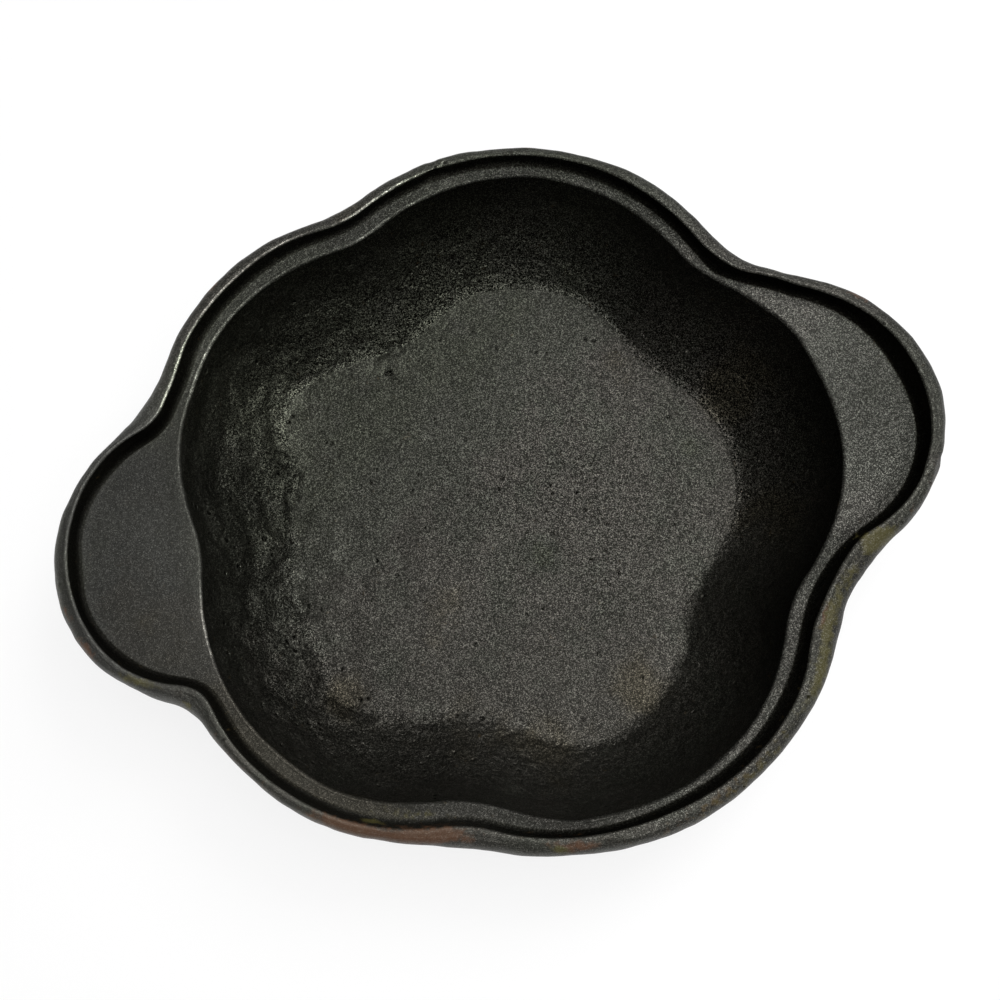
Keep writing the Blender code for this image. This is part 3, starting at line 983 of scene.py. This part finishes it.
# Blotches of the film's warmth, and painted light and shade that make the shine brighter or duller: place from the
# middle of the bowl in mm, spread, strength
blotches = {
    "warmth": [(-39, -30, 6, 1.5), (18, -40, 7, 1.3), (-16, -41, 8, 0.8), (-2, -48, 7, 1.3), (31, 24, 6, 0.9),
               (51, 13, 8, 1.6), (51, -13, 8, 1.3), (15, 54, 8, 1.1), (-70, -10, 10, 1.7), (-17, -17, 8, 0.9),
               (40, 4, 2.5, -2.2), (5, -11, 3, -2.4), (-43, 31, 5, -1.6), (-30, -47, 12, 0.3), (-17, 59, 6, 1.2),
               (72, 0, 14, -1.0), (-65, 12, 13, 1.0)],
    "paintedLightAndShade": [(-46, 33, 8, 1.0), (-47, 26, 3, 0.35), (-53, 11, 7, -0.3), (73, 2, 15, -0.36), (-65, 5, 14, 0.14),
               (49, 43, 11, -0.2), (53, -39, 10, -0.15), (37, 0, 14, -0.1), (-43, 18, 3, -0.45), (-44, 9, 4, -0.4),
               (-42, 0, 3, -0.2), (-20, 41, 5, 0.15), (-34, -3, 12, 0.08), (-17, -17, 12, 0.15),
               (20, -24, 12, -0.06), (3, 1, 8, 0.08), (5, -11, 4, -0.25), (-39, -30, 5, -0.1), (-16, -41, 6, 0.2),
               (-2, -48, 6, 0.12), (28, -38, 6, 0.25), (-8, -53, 12, 0.1)],
}


def blotch(name, co):
    return sum(
        strength * math.exp(-(math.hypot(co.x * 1000 - x, co.y * 1000 - y) / spread) ** 2)
        for x, y, spread, strength in blotches[name]
    )


# The film's warmth: greener on the far left half, browner on the near right half
warmths = {
    "toRight": 0.52,           # which way across the dish it warms, and where, in mm
    "toNear": 0.84,
    "from": -31,
    "over": 24,
    "least": -1,
    "more": 1.5,
    "rim": [(128, 30, 2.0)],
    "ledge": [(218, 24, 1.4)],
    "ledgeInside": 0.6,        # mm out from the seat's edge
}


def warmth(co):
    across = (warmths["toRight"] * co.x - warmths["toNear"] * co.y) * 1000
    half = rise(across, warmths["from"], warmths["over"])
    angle, out = fromSeat(co)
    more = 0
    if out > rimFrom:
        more = peaks(warmths["rim"], angle)
    elif out < warmths["ledgeInside"] and co.z > ledgeBottom:
        more = peaks(warmths["ledge"], angle)
    return warmths["more"] * half + warmths["least"] + blotch("warmth", co) + more


# Painted light and shade where the ledge and the rim's inner and outer half shine more or less: direction and
# spread in degrees, share
paintedShineBands = {
    "ledge": [(55, 14, -0.25), (80, 14, -0.25), (105, 18, -0.12), (212, 12, -0.2), (243, 14, -0.32),
              (266, 12, -0.5), (313, 8, -0.33), (341, 14, -0.52)],
    "ledgeMiddle": -1.2,       # mm out from the seat's edge
    "ledgeSpread": 1.6,
    "rimInner": [(222, 38, 0.12), (130, 35, 0.12), (12, 14, -0.2), (38, 10, -0.1), (60, 14, -0.25), (153, 8, 0.6),
                 (243, 12, -0.25), (270, 14, -0.1), (315, 16, -0.25), (335, 6, -0.1), (355, 8, -0.15)],
    "rimOuter": [(215, 38, 0.65), (130, 35, 0.12), (12, 14, -0.2), (38, 10, -0.15), (60, 14, -0.3), (153, 8, 0.6),
                 (175, 14, 0.6), (243, 12, -0.25), (270, 14, -0.1), (292, 12, 0.15), (332, 8, -0.15),
                 (355, 7, 0.3)],
    "edgeFrom": 0.6,           # the rim's inner edge lies further out than this, in mm, and this far above the seat
    "edgeAbove": 0.002,
    "outerFrom": 2,
    "outerOver": 1,
}


# painted light and shade on the floor, walls, ledge and rim
def paintedLightAndShade(co):
    angle, out = fromSeat(co)
    more = 0.0
    if out > rimFrom or (out > paintedShineBands["edgeFrom"] and co.z > seatLevel + paintedShineBands["edgeAbove"]):
        outer = rise(out, paintedShineBands["outerFrom"], paintedShineBands["outerOver"])
        more = (1 - outer) * peaks(paintedShineBands["rimInner"], angle) + outer * peaks(paintedShineBands["rimOuter"], angle)
    elif co.z > ledgeBottom:
        middle, width = paintedShineBands["ledgeMiddle"], paintedShineBands["ledgeSpread"]
        more = math.exp(-((out - middle) / width) ** 2) * peaks(paintedShineBands["ledge"], angle)
    return blotch("paintedLightAndShade", co) + more


# How pitted the iron is
pocks = {
    "least": 0.8,
    "wall": [(160, 35, 1.0), (207, 25, 0.9), (250, 25, 0.3)],
    "wallBeyond": -2,          # mm out from the floor's edge
    "rim": [(347, 5, 1.4), (310, 14, 1.0), (200, 14, 1.0), (89, 2, 2.5)],
    "ledge": 0.45,
    "leftHandle": 0.0,
    "leftHandleInside": 0.5,
    "leftHandleUpTo": -0.058,
}


def pockShare(co):
    angle, out = fromSeat(co)
    if out < pocks["leftHandleInside"] and co.x < pocks["leftHandleUpTo"]:
        return pocks["leftHandle"]
    if out > rimFrom:
        return pocks["least"] + peaks(pocks["rim"], angle)
    if co.z > ledgeBottom:
        return pocks["ledge"]
    if beyondFloor(co)[1] > pocks["wallBeyond"]:
        return pocks["least"] + peaks(pocks["wall"], angle)
    return pocks["least"]


rules = {"warmth": warmth, "paintedLightAndShade": paintedLightAndShade, "pocks": pockShare, "grainShare": grainShare,
         "rust": stain("rust"), "ochre": stain("ochre")}
for name, rule in rules.items():
    layFloats(casting, name, rule)
for name in iron:
    casting.data.materials.append(seasonedIron(name, iron[name]))
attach(casting, "root")
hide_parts("roaster_dish")
print("iron dressed")


# Stage: a pale floor that sweeps up all round, so that other views end on it too
stage = {
    "floorRadius": 1.3,
    "sweep": 0.3,
    "wallHeight": 0.5,
    "color": (0.8, 0.8, 0.8),
    "ownWhite": 0.8,      # the share of white that the camera and reflections are given
    "roughness": 0.9,
    "sides": 96,
    "sweepSteps": 8,
    "lip": 0.001,
}


def makeStage():
    bpy.ops.object.select_all(action="DESELECT")
    bpy.ops.mesh.primitive_circle_add(vertices=stage["sides"], radius=stage["floorRadius"], fill_type="NGON",
                                      location=(0, 0, 0))
    floor = bpy.context.object
    floor.name = "stageFloor"
    bpy.ops.object.mode_set(mode="EDIT")
    bpy.ops.mesh.select_mode(type="EDGE")
    bpy.ops.mesh.select_all(action="SELECT")
    bpy.ops.mesh.inset(thickness=stage["lip"])
    bpy.ops.mesh.select_all(action="DESELECT")
    mesh = bmesh.from_edit_mesh(floor.data)
    for line in mesh.edges:
        line.select = line.is_boundary
    bmesh.update_edit_mesh(floor.data)
    steps = stage["sweepSteps"]
    radius = stage["floorRadius"]
    turned = 0.0
    for step in range(1, steps + 1):
        turn = math.pi / 2 * step / steps
        wider = radius + stage["sweep"] * math.sin(turn)
        now = radius + stage["sweep"] * math.sin(turned)
        lift = stage["sweep"] * (math.cos(turned) - math.cos(turn))
        bpy.ops.mesh.extrude_edges_move()
        bpy.ops.transform.translate(value=(0, 0, lift))
        bpy.ops.transform.resize(value=(wider / now, wider / now, 1))
        turned = turn
    bpy.ops.mesh.extrude_edges_move()
    bpy.ops.transform.translate(value=(0, 0, stage["wallHeight"] - stage["sweep"]))
    bpy.ops.mesh.select_all(action="SELECT")
    bpy.ops.mesh.normals_make_consistent(inside=True)
    bpy.ops.object.mode_set(mode="OBJECT")
    bpy.ops.object.shade_smooth()
    return floor


def paleFloor():
    material = bpy.data.materials.new("paleFloor")
    material.use_nodes = True
    tree = material.node_tree
    shader = tree.nodes["Principled BSDF"]
    shader.inputs["Base Color"].default_value = (*stage["color"], 1)
    shader.inputs["Roughness"].default_value = stage["roughness"]
    out = tree.nodes["Material Output"]
    path = add(tree, "ShaderNodeLightPath")
    seen = sums(tree, "MAXIMUM", path.outputs["Is Camera Ray"], path.outputs["Is Glossy Ray"])
    seen = sums(tree, "MAXIMUM", seen, path.outputs["Is Transmission Ray"])
    white = add(tree, "ShaderNodeEmission")
    white.inputs["Strength"].default_value = 1.0
    mix = add(tree, "ShaderNodeMixShader")
    tree.links.new(sums(tree, "MULTIPLY", seen, stage["ownWhite"]), mix.inputs[0])
    tree.links.new(shader.outputs[0], mix.inputs[1])
    tree.links.new(white.outputs[0], mix.inputs[2])
    tree.links.new(mix.outputs[0], out.inputs["Surface"])
    return material


floor = makeStage()
floor.data.materials.append(paleFloor())
print("stage laid")


# Camera and light
def pictureAxes():
    facing = Vector((math.sin(view["tilt"]) * math.cos(view["azimuth"]),
                     math.sin(view["tilt"]) * math.sin(view["azimuth"]),
                     math.cos(view["tilt"])))
    level = Vector((0, 1, 0)).cross(facing).normalized()
    upright = facing.cross(level)
    across = level * math.cos(view["roll"]) + upright * math.sin(view["roll"])
    up = upright * math.cos(view["roll"]) - level * math.sin(view["roll"])
    return across, up, facing


def placeCamera():
    across, up, facing = pictureAxes()
    aim = Vector((*view["aim"], seatLevel))
    bpy.ops.object.camera_add(location=(0, 0, 0))
    camera = bpy.context.object
    camera.name = "photoView"
    camera.data.sensor_width = view["sensorWidth"]
    camera.data.lens = view["sensorWidth"] * view["focalPixels"] / view["framePixels"]
    camera.data.clip_start = view["clipStart"]
    turn = Matrix((across, up, facing)).transposed().to_4x4()
    camera.matrix_world = Matrix.Translation(aim + facing * view["distance"]) @ turn
    bpy.context.scene.camera = camera
    return across, up


def placeLamp(name, lamp, across, up):
    right = Vector((across.x, across.y, 0)).normalized()
    far = Vector((up.x, up.y, 0)).normalized()
    toLamp = (right * lamp["right"] + far * lamp["up"] + Vector((0, 0, 1))).normalized()
    bpy.ops.object.light_add(type="AREA", location=toLamp * lamp["distance"])
    source = bpy.context.object
    source.name = name + "Lamp"
    source.data.shape = "DISK"
    source.data.size = lamp["size"]
    source.data.energy = lamp["power"]
    source.rotation_euler = toLamp.to_track_quat("Z", "Y").to_euler()


def dimWorld():
    world = bpy.data.worlds.new("studioWorld")
    bpy.context.scene.world = world
    world.use_nodes = True
    world.node_tree.nodes["Background"].inputs["Color"].default_value = (1, 1, 1, 1)
    world.node_tree.nodes["Background"].inputs["Strength"].default_value = worldFill


across, up = placeCamera()
for name, lamp in lamps.items():
    placeLamp(name, lamp, across, up)
dimWorld()
bpy.context.scene.view_settings.view_transform = "Standard"
print("camera and lamps set")
